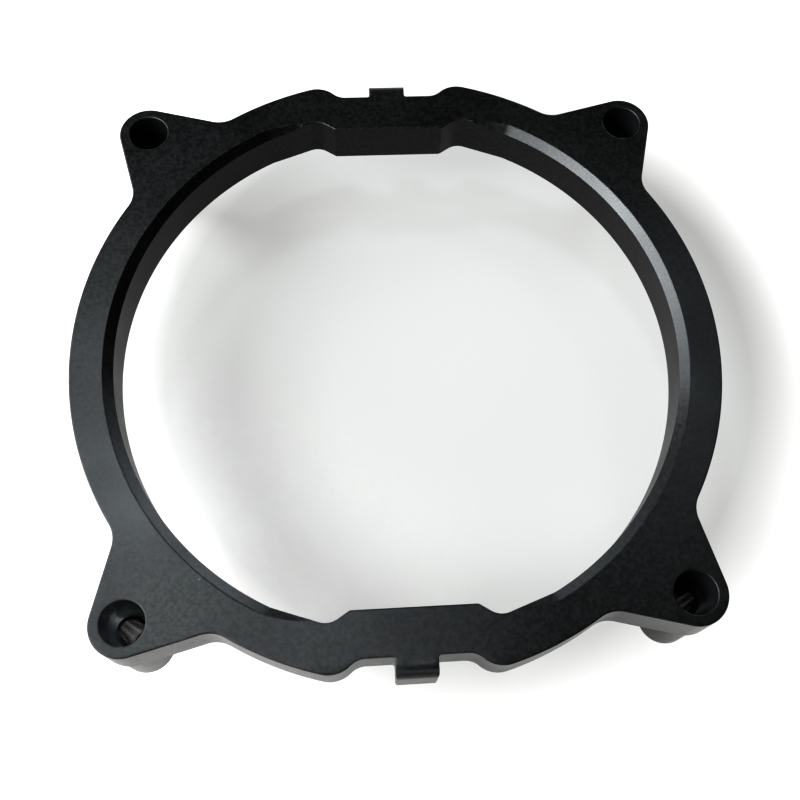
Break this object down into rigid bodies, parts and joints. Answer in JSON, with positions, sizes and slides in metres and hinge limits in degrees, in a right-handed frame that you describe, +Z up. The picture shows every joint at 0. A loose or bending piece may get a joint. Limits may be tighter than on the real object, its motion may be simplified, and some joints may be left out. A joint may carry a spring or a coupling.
{
  "type": "cpu cooler mounting frame",
  "caption": "Black moulded ring that holds a processor cooler on a board: corner lugs with pin bores, feet with split collets, and clip tabs front and back.",
  "frame": {"origin": "under the middle of the four pin bores, at the level of the collet tips", "axes": "+Z up out of the top face of the ring, +X towards the right-hand round side, +Y towards the back clip tab"},
  "size_m": [0.1, 0.0986, 0.0245],
  "materials": {
    "black_plastic": "semi-gloss black moulded plastic with a fine mottled texture"
  },
  "bodies": {
    "root": {"mounting_frame": "black_plastic"}
  },
  "joints": []
}
